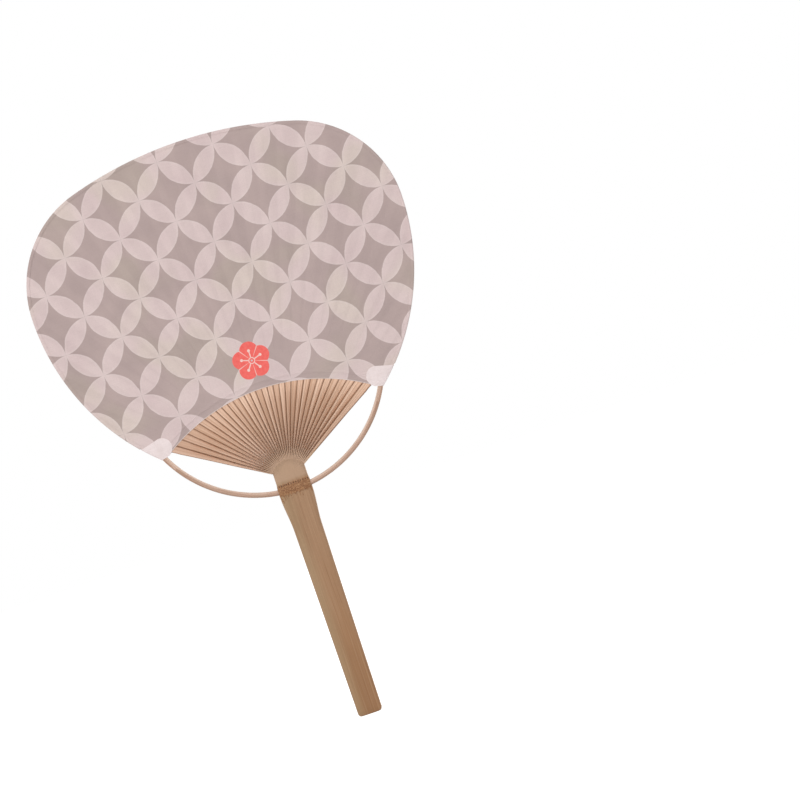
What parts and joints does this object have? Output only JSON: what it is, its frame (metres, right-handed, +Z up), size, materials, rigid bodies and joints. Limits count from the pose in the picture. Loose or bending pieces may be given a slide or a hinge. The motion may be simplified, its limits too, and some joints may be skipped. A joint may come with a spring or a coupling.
{
  "type": "round uchiwa fan",
  "caption": "Rigid round hand fan: bamboo handle split into spread ribs by a bent bow, with patterned paper pasted on both sides.",
  "frame": {"origin": "centre of the bounding box at its lowest level, on the lower end of the grip", "axes": "+Z up the handle to the top of the head, +X to the right seen from the front, +Y out of the back, so the skin side and front paper face -Y"},
  "size_m": [0.2436, 0.0078, 0.3768],
  "materials": {
    "culm_bamboo": "satin",
    "rib_bamboo": "satin",
    "bow_bamboo": "satin",
    "front_print": "matt",
    "back_print": "matt",
    "rim_strip": "matt",
    "ear_sheet": "matt",
    "thread": "matt"
  },
  "bodies": {
    "root": {"handle": "culm_bamboo", "bow": "bow_bamboo", "spacing_thread": "thread", "front_paper": "front_print", "back_paper": "back_print", "rim_binding": "rim_strip", "left_ear_tab": "ear_sheet", "right_ear_tab": "ear_sheet", "rib_01": "rib_bamboo", "rib_02": "rib_bamboo", "rib_03": "rib_bamboo", "rib_04": "rib_bamboo", "rib_05": "rib_bamboo", "rib_06": "rib_bamboo", "rib_07": "rib_bamboo", "rib_08": "rib_bamboo", "rib_09": "rib_bamboo", "rib_10": "rib_bamboo", "rib_11": "rib_bamboo", "rib_12": "rib_bamboo", "rib_13": "rib_bamboo", "rib_14": "rib_bamboo", "rib_15": "rib_bamboo", "rib_16": "rib_bamboo", "rib_17": "rib_bamboo", "rib_18": "rib_bamboo", "rib_19": "rib_bamboo", "rib_20": "rib_bamboo", "rib_21": "rib_bamboo", "rib_22": "rib_bamboo", "rib_23": "rib_bamboo", "rib_24": "rib_bamboo", "rib_25": "rib_bamboo", "rib_26": "rib_bamboo", "rib_27": "rib_bamboo", "rib_28": "rib_bamboo", "rib_29": "rib_bamboo", "rib_30": "rib_bamboo", "rib_31": "rib_bamboo", "rib_32": "rib_bamboo"}
  },
  "joints": []
}
